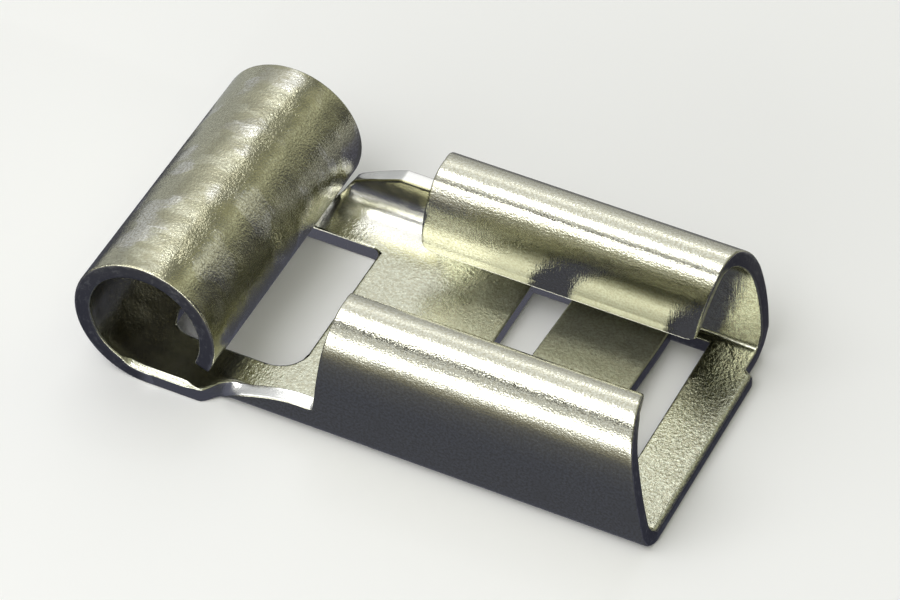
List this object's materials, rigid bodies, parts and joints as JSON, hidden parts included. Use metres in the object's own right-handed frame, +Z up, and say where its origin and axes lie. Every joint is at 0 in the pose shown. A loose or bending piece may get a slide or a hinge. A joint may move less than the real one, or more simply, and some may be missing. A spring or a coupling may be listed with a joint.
{
  "type": "female spade terminal",
  "caption": "Flag-type female spade terminal folded from plated brass strip, with a curled receptacle, a spring bridge, flanged legs and a rolled wire barrel set across it.",
  "frame": {"origin": "middle of the underside: centre of the bounding box in X and Y, at the height of the face it rests on", "axes": "+X towards the mouth where the tab enters, Y across the receptacle and along the wire barrel, +Z up from the base"},
  "size_m": [0.015, 0.008, 0.0038],
  "materials": {
    "tin_plate": "bright tin plate over brass, drawn and rolled, lightly scuffed"
  },
  "bodies": {
    "root": {"terminal": "tin_plate"}
  },
  "joints": []
}
